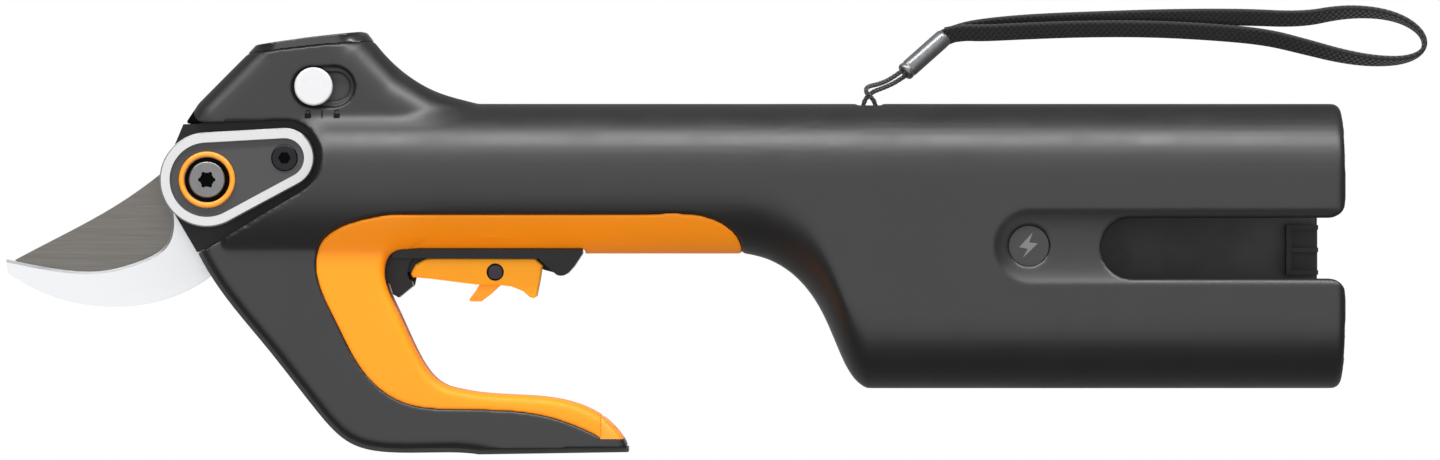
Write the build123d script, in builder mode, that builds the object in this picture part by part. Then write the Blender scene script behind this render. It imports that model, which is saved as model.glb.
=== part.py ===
"""Battery electric pruner, lying on its side.

+X runs from the blades to the battery end, +Y from the hand loop to the head top,
+Z from the right-hand side of the tool (on the table) to its left-hand side.
All lengths are in millimetres.
"""
from build123d import *
from math import atan2, cos, pi, radians, sin, sqrt, tan
import os

os.makedirs("parts", exist_ok=True)

# ---------------------------------------------------------------- driving dimensions
BODY_R = 22.5               # radius of the round handle and of the bay's long edges
MID = BODY_R                # height of the parting plane above the table
TUBE_Y = 19.2               # height of the handle's axis across the tool
TOP_Y = TUBE_Y + BODY_R     # top line of handle and bay
REAR_X = 200.0              # open end of the battery bay
BAY_FRONT_X = 58.0          # where the bay reaches its full height
BAY_BOTTOM_Y = -43.7        # lower line of the bay
TUBE_FRONT_X = -134.0       # front end of the round handle inside the head
HANDLE_CAVITY_X = -100.0    # front end of the hollow in the round handle
BULKHEAD_X = 75.0           # wall between the electronics and the bay
SLAB_HALF = 14.0            # half thickness of the head and of the guard arm
WALL = 3.0                  # housing wall, overmould included
SKIN = 1.3                  # thickness of the overmould
RIM_FILLET = 2.5            # rounding of the slab's rims
STRIP = 1.3                 # thickness of the bumper strip on the guard

PIVOT = (-139.0, 18.8)      # blade pivot
SCREW = (-115.9, 25.3)      # rear screw of the pivot plates
BUSH_R = 6.0                # outer radius of the pivot bushing
BOLT_R = 4.0                # pivot bolt shank
FIT = 0.05                  # radial running clearance

HOOK_Z = (0.15, 3.35)       # fixed blade, from the parting plane
BLADE_Z = (-3.2, 0.0)       # moving blade
SECTOR_Z = (-6.6, -3.2)     # plate of the sector gear
LEFT_CHEEK_Z = (3.4, 10.4)
RIGHT_CHEEK_Z = (-10.4, -6.8)
PLATE_FACE = 14.6           # outer face of the pivot plates, from the parting plane

PINION_TEETH = 12
SECTOR_TEETH_FULL = 42      # teeth of the sector if it went all the way round
PINION_PITCH_R = 5.5
MODULE = 2 * PINION_PITCH_R / PINION_TEETH
SECTOR_PITCH_R = MODULE * SECTOR_TEETH_FULL / 2
PITCH_Z = -2.1              # height of the face gear's pitch plane
SHAFT_Z = PITCH_Z + PINION_PITCH_R
SHAFT_Y = PIVOT[1]
TOOTH_UP = 0.75             # addendum
TOOTH_DOWN = 1.05           # dedendum
TOOTH_HALF = MODULE * pi * 0.175
BLADE_OPENING = 50.0        # degrees the moving blade opens

TRIGGER_PIVOT = (-73.0, -6.9)
TRIGGER_HALF = 6.5
TRIGGER_HOLLOW = 4.2
LEVER_PIN = (-53.3, -8.8)
SLIDER_AT = (-107.2, 46.6)  # lock slider's knob, locked
SLIDER_TRAVEL = 6.2
STRAP_BAR = (58.8, 36.4)

# ---------------------------------------------------------------- outlines
HEAD_FRONT = [(-146.5, 35.2), (-142.1, 41.8), (-127.6, 56.4)]
CAP_LOW = [(-127.6, 56.4), (-106.2, 58.9), (-89.8, 60.3)]
CAP_TOP = [(-89.8, 60.3), (-91.8, 62.9), (-93.3, 63.2), (-109.0, 61.4), (-125.1, 59.1)]
HEAD_BACK = [(-89.8, 60.3), (-81.3, 51.4), (-71.4, 45.4), (-60.0, 42.0), (-48.0, 38.6)]
LOOP = [(-79.0, -2.0), (-84.9, -4.1), (-86.1, -9.1), (-82.3, -20.7), (-76.3, -33.6),
        (-70.9, -41.0), (-64.4, -43.8), (-47.2, -45.7), (-32.3, -47.3), (-22.3, -51.3),
        (-14.9, -58.4)]
LOOP_CORNER = 6             # index of the point where front and bottom of the loop meet
GUARD_OUTER = [(-13.4, -62.5), (-58.0, -63.2), (-83.8, -62.6), (-96.2, -59.9),
               (-106.2, -50.5), (-121.1, -31.6), (-135.1, -14.2), (-141.8, -3.2)]
HEAD_CAVITY = [(-160.0, 34.0), (-142.5, 34.0), (-139.5, 40.6), (-126.2, 53.5), (-106.0, 55.8),
               (-92.0, 57.0), (-83.0, 48.4), (-73.0, 42.2), (-62.0, 38.6), (-62.0, 6.0),
               (-86.0, 1.0), (-91.0, -9.5), (-86.8, -23.0), (-80.8, -36.0), (-73.0, -45.0),
               (-64.0, -47.6), (-46.0, -49.6), (-36.0, -51.0), (-32.0, -53.5), (-40.0, -57.8),
               (-82.5, -58.2), (-94.0, -55.6), (-103.0, -46.6), (-117.6, -28.0),
               (-131.6, -10.6), (-136.0, -3.2), (-160.0, -3.2)]
GRIP_TOP = [(20.6, -3.8), (19.0, 2.0), (13.9, 6.2), (7.9, 8.2), (-10.0, 8.5)]
GRIP_FRONT = [(-84.1, 8.5), (-97.1, 5.6), (-105.1, -0.1), (-106.6, -6.1), (-100.9, -23.2),
              (-91.3, -40.0), (-81.3, -47.5), (-66.5, -49.8), (-37.4, -52.0), (-27.3, -55.5),
              (-21.5, -58.3)]
POCKET = [(-157.0, 35.1), (-115.9, 36.7), (-110.2, 15.4), (-141.7, -3.2), (-157.0, -12.0)]
POCKET_R = 11.4             # rounding of the pocket's rear end, about the plate screw
SHOULDER = [(21.0, -3.3), (30.0, -5.8), (37.6, -11.2), (44.7, -21.2), (51.9, -37.3),
            (BAY_FRONT_X, BAY_BOTTOM_Y)]


def shifted(points, distance):
    """The points moved sideways by distance, to the left of their direction."""
    moved = []
    for i, (x, y) in enumerate(points):
        x0, y0 = points[max(i - 1, 0)]
        x1, y1 = points[min(i + 1, len(points) - 1)]
        length = sqrt((x1 - x0) ** 2 + (y1 - y0) ** 2)
        moved.append((x - distance * (y1 - y0) / length, y + distance * (x1 - x0) / length))
    return moved


def level(z):
    """The XY plane at height z from the parting plane."""
    return Plane.XY.offset(MID + z)


def upright(x):
    """The YZ plane at x."""
    return Plane.YZ.offset(x)


def bay_section(x, bottom, inset):
    """Upright section of the shoulder and of the bay at x, down to the bottom line."""
    height = TOP_Y - bottom
    plane = Plane(origin=(x, (TOP_Y + bottom) / 2, MID), x_dir=(0, 1, 0), z_dir=(1, 0, 0))
    with BuildSketch(plane) as section:
        RectangleRounded(height - 2 * inset, 2 * (BODY_R - inset), BODY_R - inset - 0.1)
    return section.sketch


def handle_and_bay(inset, front, rear):
    """Round handle, shoulder and bay as one solid, inset from the outer surface."""
    with BuildPart() as form:
        extrude(bay_section(*SHOULDER[0], inset), amount=front - SHOULDER[0][0])
        loft([bay_section(x, bottom, inset) for x, bottom in SHOULDER])
        extrude(bay_section(BAY_FRONT_X, BAY_BOTTOM_Y, inset), amount=rear - BAY_FRONT_X)
    return form.part


def hull_plate(grow, low, high):
    """Plate shaped as a belt round the pivot and the rear screw."""
    radius_p, radius_s = 14.1 + grow, 8.9 + grow
    dx, dy = SCREW[0] - PIVOT[0], SCREW[1] - PIVOT[1]
    reach = sqrt(dx ** 2 + dy ** 2)
    turn = atan2(dy, dx)
    lean = (radius_p - radius_s) / reach
    across = sqrt(1 - lean ** 2)
    corners = []
    for side in (1, -1):
        nx = lean * cos(turn) - side * across * sin(turn)
        ny = lean * sin(turn) + side * across * cos(turn)
        corners.append([(PIVOT[0] + radius_p * nx, PIVOT[1] + radius_p * ny),
                        (SCREW[0] + radius_s * nx, SCREW[1] + radius_s * ny)])
    with BuildPart() as plate:
        with BuildSketch(level(low)):
            with Locations(PIVOT):
                Circle(radius_p)
            with Locations(SCREW):
                Circle(radius_s)
            with BuildLine():
                Polyline(corners[0][0], corners[0][1], corners[1][1], corners[1][0], close=True)
            make_face()
        extrude(amount=high - low)
    return plate.part


# ---------------------------------------------------------------- shared forms
with BuildPart() as slab_form:                # head, guard arm and guard
    with BuildSketch(level(-SLAB_HALF)):
        with BuildLine():
            guard_inner = shifted(GUARD_OUTER, -STRIP)
            Spline(*LOOP[:LOOP_CORNER + 1])
            Spline(*LOOP[LOOP_CORNER:])
            Polyline(LOOP[-1], guard_inner[0], guard_inner[1])
            Spline(*guard_inner[1:])
            Polyline(guard_inner[-1], *HEAD_FRONT)
            Polyline(*CAP_LOW)
            Spline(*HEAD_BACK)
            Polyline(HEAD_BACK[-1], (-48.0, TUBE_Y), (-66.0, 5.0), LOOP[0])
        make_face()
    extrude(amount=2 * SLAB_HALF)
    rims = slab_form.faces().filter_by(Axis.Z).edges()
    inside_tube = rims.filter_by(lambda e: e.center().X > -75 and -1 < e.center().Y < 36)
    under_cap = rims.filter_by(lambda e: e.center().Y > 56.5)
    at_strip = rims.filter_by(lambda e: e.center().Y < -55)
    fillet(rims - inside_tube - under_cap - at_strip, RIM_FILLET)

with BuildPart() as outer_form:
    add(slab_form.part)
    add(handle_and_bay(0, TUBE_FRONT_X, REAR_X))
    rear_rim = outer_form.faces().sort_by(Axis.X)[-1].edges()
    fillet(rear_rim, 2.8)

with BuildPart() as cavity_form:              # hollow of head, arm and handle
    with BuildSketch(level(-SLAB_HALF + WALL)):
        with BuildLine():
            Polyline(*HEAD_CAVITY, close=True)
        make_face()
    extrude(amount=2 * (SLAB_HALF - WALL))
    add(handle_and_bay(WALL, HANDLE_CAVITY_X, BULKHEAD_X))

with BuildPart() as bay_form:                 # hollow that takes the battery
    extrude(bay_section(BULKHEAD_X + 5, BAY_BOTTOM_Y, WALL), amount=REAR_X - BAY_FRONT_X)

with BuildPart() as grip_core:                # what the overmould is laid over
    with BuildSketch(level(-SLAB_HALF + SKIN)):
        with BuildLine():
            loop_core = shifted(LOOP, -SKIN)
            Spline(*loop_core[:LOOP_CORNER + 1])
            Spline(*loop_core[LOOP_CORNER:])
            Polyline(loop_core[-1], (-16.0, -75.0), (-165.0, -75.0), (-165.0, 30.0),
                     (-50.0, 30.0), (-50.0, 10.0), loop_core[0])
        make_face()
    extrude(amount=2 * (SLAB_HALF - SKIN))
    caps = grip_core.faces().filter_by(Axis.Z).edges()
    fillet(caps.filter_by(GeomType.BSPLINE), RIM_FILLET - SKIN)
    add(handle_and_bay(SKIN, -130.0, REAR_X))

with BuildPart() as grip_zone:                # full depth of the overmould's outline
    with BuildSketch(Plane.XY.offset(-5)):
        with BuildLine():
            Spline(*GRIP_TOP)
            Line(GRIP_TOP[-1], GRIP_FRONT[0])
            Spline(*GRIP_FRONT)
            Polyline(GRIP_FRONT[-1], (-21.5, -30.0), (20.6, -30.0), GRIP_TOP[0])
        make_face()
    extrude(amount=2 * MID + 10)
    add(grip_core.part, mode=Mode.SUBTRACT)



def prism(outline, low, high):
    """Straight-sided solid over a closed outline, between two heights from the parting plane."""
    with BuildPart() as solid:
        with BuildSketch(level(low)):
            with BuildLine():
                Polyline(*outline, close=True)
            make_face()
        extrude(amount=high - low)
    return solid.part


def box(x0, x1, y0, y1, z0, z1):
    """Box between two corners, z from the parting plane."""
    return prism([(x0, y0), (x1, y0), (x1, y1), (x0, y1)], z0, z1)


def post(x, y, radius, low, high):
    """Upright cylinder, z from the parting plane."""
    with BuildPart() as solid:
        with BuildSketch(level(low)):
            with Locations((x, y)):
                Circle(radius)
        extrude(amount=high - low)
    return solid.part


def lying(x0, x1, y, z, radius):
    """Cylinder along the tool."""
    with BuildPart() as solid:
        with BuildSketch(upright(x0)):
            with Locations((y, MID + z)):
                Circle(radius)
        extrude(amount=x1 - x0)
    return solid.part


def slot(x0, x1, y, radius, low, high):
    """Straight slot with round ends between two centres along X."""
    with BuildPart() as solid:
        with BuildSketch(level(low)):
            with Locations(((x0 + x1) / 2, y)):
                SlotCenterToCenter(x1 - x0, 2 * radius)
        extrude(amount=high - low)
    return solid.part


def save(name, part):
    """Label one finished piece and write its file."""
    part.label = name
    export_step(part, f"parts/{name}.step")


# ---------------------------------------------------------------- housing
CASE_SCREWS = [                               # x, y, height of the head's seat
    (-131.0, 44.5, -9.0), (-79.0, 40.3, -9.0), (2.0, 36.0, -9.0), (-104.0, -20.0, -9.0),
    (-90.0, -47.0, -9.0), (-55.0, -53.7, -9.0), (47.0, -9.0, -17.0), (67.0, 28.0, -17.0)]
POST_R, SCREW_HEAD_R, SCREW_SHANK_R = 3.2, 2.8, 1.25
SCREW_HEAD, SCREW_END = 1.8, 6.0
FRAME_STRIP = (-3.3, -1.9)                    # trigger frame's plate, across the tool
WINDOW_X = (-80.0, -37.6)                     # window for the trigger in plate and handle
WINDOW_HALF = 7.2
GROOVE_Y, GROOVE_HALF, GROOVE_DEPTH = -1.0, 11.4, 3.0
GROOVE_X = 95.0
GROOVE_R = (GROOVE_HALF ** 2 + GROOVE_DEPTH ** 2) / (2 * GROOVE_DEPTH)
SLOT_X, SLOT_Y, SLOT_HALF = 127.3, -1.6, 9.0
RAIL_THICKNESS = 1.9                          # guide rail in the bay, behind the groove
MOUTH_R = 5.0                                 # rounding of the slot's open end
LENS_AT, LENS_R = (105.8, -0.9), 5.9
PILL_X, PILL_R = (-107.65, -101.05), 6.15     # recess round the lock slider
NECK_R, NECK_SLOT_R = 3.9, 4.2
ANCHOR_X, ANCHOR_HALF = (55.4, 62.2), 3.6     # notch for the strap's cord

with BuildPart() as anchor_boss:              # material round the strap's bar
    add(box(52.5, 65.0, 30.5, 46.0, -9.0, 9.0))
    add(outer_form.part, mode=Mode.INTERSECT)

with BuildPart() as screw_posts:
    for x, y, seat in CASE_SCREWS:
        add(post(x, y, POST_R, -MID, MID))
    add(outer_form.part, mode=Mode.INTERSECT)

with BuildPart() as both_halves:              # housing before it is parted
    add(outer_form.part)
    add(cavity_form.part, mode=Mode.SUBTRACT)
    add(bay_form.part, mode=Mode.SUBTRACT)
    add(box(BULKHEAD_X + 4, REAR_X - 3, GROOVE_Y - GROOVE_HALF, GROOVE_Y + GROOVE_HALF,
            BODY_R - WALL - RAIL_THICKNESS, BODY_R - WALL + 0.5))
    add(anchor_boss.part)
    add(screw_posts.part)
    add(grip_zone.part, mode=Mode.SUBTRACT)
    add(prism(POCKET, -30, 30), mode=Mode.SUBTRACT)
    add(post(*SCREW, POCKET_R, -30, 30), mode=Mode.SUBTRACT)
    add(box(-86.6, -26.4, -12.0, FRAME_STRIP[1], -10.2, 10.2), mode=Mode.SUBTRACT)
    add(box(*WINDOW_X, -6.0, 3.0, -WINDOW_HALF, WINDOW_HALF), mode=Mode.SUBTRACT)
    add(box(BULKHEAD_X - 1, BULKHEAD_X + 6, -14.0, 12.0, -9.0, 9.0), mode=Mode.SUBTRACT)
    add(box(*ANCHOR_X, 33.4, 46.0, -ANCHOR_HALF, ANCHOR_HALF), mode=Mode.SUBTRACT)
    add(post(*STRAP_BAR, 1.3, -7.0, 7.0), mode=Mode.SUBTRACT)

hook_gap = box(-150, -124, -18, -2, 0.0, HOOK_Z[1] + 0.1)    # where the fixed blade leaves

with BuildPart() as slot_mouth:               # rounds the corners where the slot opens
    flare = SLOT_HALF + MOUTH_R
    add(box(REAR_X - MOUTH_R, REAR_X + 1, SLOT_Y - flare, SLOT_Y + flare, 12.0, 24.0))
    for y in (SLOT_Y - flare, SLOT_Y + flare):
        add(post(REAR_X - MOUTH_R, y, MOUTH_R, 11.0, 25.0), mode=Mode.SUBTRACT)

with BuildPart() as left_housing_shell:
    add(both_halves.part)
    split(bisect_by=level(0), keep=Keep.TOP)
    add(hook_gap, mode=Mode.SUBTRACT)
    add(slot(*PILL_X, SLIDER_AT[1], PILL_R, 12.4, 16.0), mode=Mode.SUBTRACT)
    add(slot(SLIDER_AT[0] - 0.3, SLIDER_AT[0] + SLIDER_TRAVEL + 0.3, SLIDER_AT[1], NECK_SLOT_R,
             8.0, 16.0), mode=Mode.SUBTRACT)
    add(lying(GROOVE_X + GROOVE_HALF, REAR_X + 1, GROOVE_Y, MID + GROOVE_R - GROOVE_DEPTH,
              GROOVE_R), mode=Mode.SUBTRACT)
    with Locations((GROOVE_X + GROOVE_HALF, GROOVE_Y, 2 * MID + GROOVE_R - GROOVE_DEPTH)):
        Sphere(GROOVE_R, mode=Mode.SUBTRACT)
    add(slot(SLOT_X + SLOT_HALF, REAR_X + 20, SLOT_Y, SLOT_HALF, 12.0, 24.0), mode=Mode.SUBTRACT)
    add(slot_mouth.part, mode=Mode.SUBTRACT)
    add(post(*LENS_AT, LENS_R, 16.0, 24.0), mode=Mode.SUBTRACT)
    for x, y, seat in CASE_SCREWS:
        add(post(x, y, SCREW_SHANK_R + FIT, -1.0, SCREW_END + 1), mode=Mode.SUBTRACT)
save("left_housing_shell", left_housing_shell.part)

with BuildPart() as right_housing_shell:
    add(both_halves.part)
    split(bisect_by=level(0), keep=Keep.BOTTOM)
    add(box(194.8, 202.0, -13.6, 10.6, -24.0, -15.0), mode=Mode.SUBTRACT)
    for x, y, seat in CASE_SCREWS:
        add(post(x, y, SCREW_SHANK_R + FIT, -24.0, 1.0), mode=Mode.SUBTRACT)
        add(post(x, y, SCREW_HEAD_R + 0.2, -24.0, seat), mode=Mode.SUBTRACT)
save("right_housing_shell", right_housing_shell.part)

with BuildPart() as case_screws:
    for x, y, seat in CASE_SCREWS:
        add(post(x, y, SCREW_SHANK_R, seat, SCREW_END))
        add(post(x, y, SCREW_HEAD_R, seat - SCREW_HEAD, seat))
        add(post(x, y, 1.2, seat - SCREW_HEAD, seat - 0.6), mode=Mode.SUBTRACT)
save("case_screws", case_screws.part)

with BuildPart() as both_grips:
    add(outer_form.part)
    add(grip_zone.part, mode=Mode.INTERSECT)
    add(box(-86.6, -26.4, -12.0, FRAME_STRIP[1], -10.2, 10.2), mode=Mode.SUBTRACT)
    add(box(*WINDOW_X, -6.0, 3.0, -WINDOW_HALF, WINDOW_HALF), mode=Mode.SUBTRACT)
for name, side in (("left_grip_overmould", Keep.TOP), ("right_grip_overmould", Keep.BOTTOM)):
    with BuildPart() as grip:
        add(both_grips.part)
        split(bisect_by=level(0), keep=side)
    save(name, grip.part)

with BuildPart() as guard_bumper_strip:
    with BuildSketch(level(-11.0)):
        with BuildLine():
            Line(guard_inner[0], guard_inner[1])
            Spline(*guard_inner[1:])
            Line(guard_inner[-1], GUARD_OUTER[-1])
            Spline(*reversed(GUARD_OUTER[1:]))
            Line(GUARD_OUTER[1], GUARD_OUTER[0])
            Line(GUARD_OUTER[0], guard_inner[0])
        make_face()
    extrude(amount=22.0)
    add(hook_gap, mode=Mode.SUBTRACT)
save("guard_bumper_strip", guard_bumper_strip.part)

with BuildPart() as head_top_cap:
    with BuildSketch(level(-12.0)):
        with BuildLine():
            Polyline(*CAP_LOW, *CAP_TOP[1:], close=True)
        make_face()
    extrude(amount=24.0)
    fillet(head_top_cap.faces().filter_by(Axis.Z).edges().group_by(Axis.Y)[-1], 1.0)
save("head_top_cap", head_top_cap.part)

# ---------------------------------------------------------------- cutting head
CHEEK = [(-146.3, 35.4), (-141.2, 35.6), (-140.5, 37.0), (-116.0, 38.6), (-103.0, 34.0),
         (-103.0, 6.0), (-116.0, 2.0), (-134.4, -3.2), (-137.0, -0.5), (-142.2, -2.8),
         (-148.8, 8.4),
         (-151.8, 18.8), (-149.8, 27.0)]
BEARING_X, BEARING_R, SHAFT_R = (-110.0, -104.5), 6.5, 3.0
PINION_X = (PIVOT[0] + 16.6, PIVOT[0] + 22.0)
SECTOR_R = (16.4, 22.3)
HUB_R = 13.5
HOOK_SCREWS = [(-131.5, 2.5), (-124.5, 8.2)]

with BuildPart() as head_frame:
    add(prism(CHEEK, *RIGHT_CHEEK_Z))
    add(prism(CHEEK, *LEFT_CHEEK_Z))
    add(box(-113.0, -103.0, SHAFT_Y - 10.0, SHAFT_Y + 10.0, RIGHT_CHEEK_Z[0], LEFT_CHEEK_Z[1]))
    add(box(-103.0, -99.4, SHAFT_Y - 12.0, SHAFT_Y + 12.0, RIGHT_CHEEK_Z[0], LEFT_CHEEK_Z[1]))
    add(post(*PIVOT, BOLT_R, -12.0, 12.0), mode=Mode.SUBTRACT)
    add(post(*SCREW, 1.6, 8.2, 12.0), mode=Mode.SUBTRACT)
    add(lying(-125.0, -112.9, SHAFT_Y, SHAFT_Z, 6.9), mode=Mode.SUBTRACT)
    add(lying(-113.0, BEARING_X[0], SHAFT_Y, SHAFT_Z, 4.0), mode=Mode.SUBTRACT)
    add(lying(BEARING_X[0], BEARING_X[1], SHAFT_Y, SHAFT_Z, BEARING_R), mode=Mode.SUBTRACT)
    add(lying(BEARING_X[1], -99.0, SHAFT_Y, SHAFT_Z, 5.0), mode=Mode.SUBTRACT)
    for x, y in HOOK_SCREWS:
        add(post(x, y, 1.5, 3.0, 8.6), mode=Mode.SUBTRACT)
save("head_frame", head_frame.part)

with BuildPart() as left_pivot_plate:         # bright rim with a sunk floor
    add(hull_plate(0, 10.4, PLATE_FACE))
    chamfer(left_pivot_plate.faces().sort_by(Axis.Z)[-1].edges(), 0.4)
    add(hull_plate(-3.0, 12.2, PLATE_FACE + 1), mode=Mode.SUBTRACT)
    add(post(*PIVOT, BOLT_R, 10.0, 13.0), mode=Mode.SUBTRACT)
    add(post(*SCREW, 1.6, 10.0, 13.0), mode=Mode.SUBTRACT)
save("left_pivot_plate", left_pivot_plate.part)

with BuildPart() as left_pivot_insert:
    add(hull_plate(-3.1, 12.2, 13.4))
    add(post(*PIVOT, 8.5, 12.0, 14.0), mode=Mode.SUBTRACT)
    add(post(*SCREW, 4.0, 12.0, 14.0), mode=Mode.SUBTRACT)
save("left_pivot_insert", left_pivot_insert.part)

with BuildPart() as right_pivot_plate:
    add(hull_plate(0, -PLATE_FACE, -10.4))
    chamfer(right_pivot_plate.faces().sort_by(Axis.Z)[0].edges(), 0.4)
    add(hull_plate(-3.0, -PLATE_FACE - 1, -12.4), mode=Mode.SUBTRACT)
    add(post(*PIVOT, BOLT_R, -13.0, -10.0), mode=Mode.SUBTRACT)
save("right_pivot_plate", right_pivot_plate.part)

with BuildPart() as pivot_accent_ring:
    with BuildSketch(Plane(origin=(*PIVOT, MID), x_dir=(1, 0, 0), z_dir=(0, 1, 0))):
        with Locations((7.6, -13.5)):
            RectangleRounded(1.6, 2.6, 0.7)
    revolve(axis=Axis((*PIVOT, MID), (0, 0, 1)))
save("pivot_accent_ring", pivot_accent_ring.part)

with BuildPart() as pivot_bolt:
    add(post(*PIVOT, BOLT_R, -14.2, 12.2))
    add(post(*PIVOT, 6.7, 12.2, 12.8))
    add(post(*PIVOT, 5.45, 12.8, 14.7))
    fillet(pivot_bolt.faces().sort_by(Axis.Z)[-1].edges(), 0.5)
    with BuildSketch(level(12.9)):
        with Locations(PIVOT):
            Circle(2.1)
            with PolarLocations(2.0, 6):
                Circle(0.6)
    extrude(amount=3.0, mode=Mode.SUBTRACT)
save("pivot_bolt", pivot_bolt.part)

with BuildPart() as pivot_nut:
    with BuildSketch(level(-14.4)):
        with Locations(PIVOT):
            RegularPolygon(6.6, 6)
            Circle(BOLT_R, mode=Mode.SUBTRACT)
    extrude(amount=2.0)
save("pivot_nut", pivot_nut.part)

with BuildPart() as pivot_bushing:
    add(post(*PIVOT, BUSH_R, RIGHT_CHEEK_Z[1], LEFT_CHEEK_Z[0]))
    add(post(*PIVOT, BOLT_R, -8.0, 4.0), mode=Mode.SUBTRACT)
save("pivot_bushing", pivot_bushing.part)

with BuildPart() as plate_screw:
    add(post(*SCREW, 1.5, 8.6, 12.2))
    add(post(*SCREW, 3.95, 12.2, 14.0))
    fillet(plate_screw.faces().sort_by(Axis.Z)[-1].edges(), 0.5)
    with BuildSketch(level(12.8)):
        with Locations(SCREW):
            RegularPolygon(1.9, 6)
    extrude(amount=3.0, mode=Mode.SUBTRACT)
save("plate_screw", plate_screw.part)

with BuildPart() as fixed_blade:
    with BuildSketch(level(HOOK_Z[0])):
        with BuildLine():
            Spline((-199.9, -5.0), (-184.7, -7.9), (-172.0, -8.5), (-159.8, -5.5),
                   (-151.8, -0.1), (-150.4, 4.5), (-152.0, 12.4))
            Polyline((-152.0, 12.4), (-139.0, 18.0), (-120.0, 9.5), (-119.0, 3.0),
                     (-128.0, -3.5), (-138.4, -9.8))
            Spline((-138.4, -9.8), (-152.2, -16.9), (-167.2, -19.2), (-184.7, -16.5),
                   (-199.3, -9.0))
            Line((-199.3, -9.0), (-199.9, -5.0))
        make_face()
        with Locations(PIVOT):
            Circle(HUB_R)
            Circle(BUSH_R + FIT, mode=Mode.SUBTRACT)
    extrude(amount=HOOK_Z[1] - HOOK_Z[0])
    edge = fixed_blade.faces().sort_by(Axis.Z)[-1].edges().filter_by(GeomType.BSPLINE)
    chamfer(edge.sort_by(Axis.Y)[-1], 1.0, 0.8)
    for x, y in HOOK_SCREWS:
        with BuildSketch(level(HOOK_Z[0])):
            with Locations((x, y)):
                Circle(3.0)
        extrude(amount=1.8, taper=45, mode=Mode.SUBTRACT)
        add(post(x, y, 1.5, 0.0, 4.0), mode=Mode.SUBTRACT)
save("fixed_blade", fixed_blade.part)

with BuildPart() as hook_screws:
    for x, y in HOOK_SCREWS:
        with BuildSketch(level(HOOK_Z[0] + 0.1)):
            with Locations((x, y)):
                Circle(2.85)
        extrude(amount=1.5, taper=45)
        add(post(x, y, 1.4, HOOK_Z[0] + 0.2, 8.4))
save("hook_screws", hook_screws.part)

with BuildPart() as moving_blade:
    with BuildSketch(level(BLADE_Z[0])):
        with BuildLine():
            Spline((-147.0, 26.6), (-153.1, 21.3), (-167.2, 11.2), (-184.0, 1.9),
                   (-197.6, -5.2))
            Spline((-197.6, -5.2), (-188.0, -10.6), (-174.0, -13.2), (-160.0, -11.0),
                   (-148.0, -2.5), (-138.0, 8.0))
            Line((-138.0, 8.0), (-147.0, 26.6))
        make_face()
        with Locations(PIVOT):
            Circle(HUB_R)
            Circle(BUSH_R + FIT, mode=Mode.SUBTRACT)
    extrude(amount=BLADE_Z[1] - BLADE_Z[0])
    edge = moving_blade.faces().sort_by(Axis.Z)[0].edges().filter_by(GeomType.BSPLINE)
    chamfer(edge.sort_by(Axis.Y)[0], 2.6, 2.6 * 2.6 / 3.4)
save("moving_blade", moving_blade.part)

SECTOR_SPAN = (-15.0, BLADE_OPENING + 15.0)   # angles of the toothed rim at rest
SECTOR_TEETH = 9                              # teeth that the rim really has


def rim_sector(radii, low, high, first, last):
    """Part of a ring round the pivot between two angles in degrees."""
    steps = 8
    corners = []
    for i in range(steps + 1):
        a = radians(first + (last - first) * i / steps)
        corners.append((PIVOT[0] + 60 * cos(a), PIVOT[1] + 60 * sin(a)))
    with BuildPart() as ring:
        add(post(*PIVOT, radii[1], low, high))
        add(post(*PIVOT, radii[0], low - 1, high + 1), mode=Mode.SUBTRACT)
        add(prism([PIVOT, *corners], low, high), mode=Mode.INTERSECT)
    return ring.part


with BuildPart() as blade_sector_gear:
    add(rim_sector((BUSH_R + FIT, SECTOR_R[1]), *SECTOR_Z, *SECTOR_SPAN))
    add(post(*PIVOT, HUB_R - 1, *SECTOR_Z))
    add(post(*PIVOT, BUSH_R + FIT, -8.0, 0.0), mode=Mode.SUBTRACT)
    for i in range(SECTOR_TEETH):             # a gap between teeth faces the pinion at rest
        turn = (i - 1.5) * 360.0 / SECTOR_TEETH_FULL
        plane = Plane(origin=(*PIVOT, MID), x_dir=(-sin(radians(turn)), cos(radians(turn)), 0),
                      z_dir=(cos(radians(turn)), sin(radians(turn)), 0))
        with BuildSketch(plane.offset(SECTOR_R[0])):
            with BuildLine():
                half, top = TOOTH_HALF, PITCH_Z + TOOTH_UP
                low = PITCH_Z - TOOTH_DOWN - 0.2
                lean = tan(radians(20))
                Polyline((-half - (PITCH_Z - low) * lean, low),
                         (half + (PITCH_Z - low) * lean, low),
                         (half - (top - PITCH_Z) * lean, top),
                         (-half + (top - PITCH_Z) * lean, top), close=True)
            make_face()
        extrude(amount=SECTOR_R[1] - SECTOR_R[0] - 0.3)
save("blade_sector_gear", blade_sector_gear.part)

with BuildPart() as bevel_pinion:
    add(lying(*PINION_X, SHAFT_Y, SHAFT_Z, PINION_PITCH_R - TOOTH_DOWN))
    for i in range(PINION_TEETH):
        turn = -90.0 + i * 360.0 / PINION_TEETH
        plane = Plane(origin=(PINION_X[0], SHAFT_Y, MID + SHAFT_Z), z_dir=(1, 0, 0),
                      x_dir=(0, cos(radians(turn)), sin(radians(turn))))
        with BuildSketch(plane):
            with BuildLine():
                half = TOOTH_HALF
                root, tip = PINION_PITCH_R - TOOTH_DOWN - 0.3, PINION_PITCH_R + TOOTH_UP
                Polyline((root, -half - 0.25), (PINION_PITCH_R, -half), (tip, -half + 0.3),
                         (tip, half - 0.3), (PINION_PITCH_R, half), (root, half + 0.25),
                         close=True)
            make_face()
        extrude(amount=PINION_X[1] - PINION_X[0])
save("bevel_pinion", bevel_pinion.part)

with BuildPart() as output_shaft:
    add(lying(PINION_X[1], -97.0, SHAFT_Y, SHAFT_Z, SHAFT_R))
    add(lying(-112.6, BEARING_X[0] - 0.3, SHAFT_Y, SHAFT_Z, 3.7))
save("output_shaft", output_shaft.part)

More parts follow.
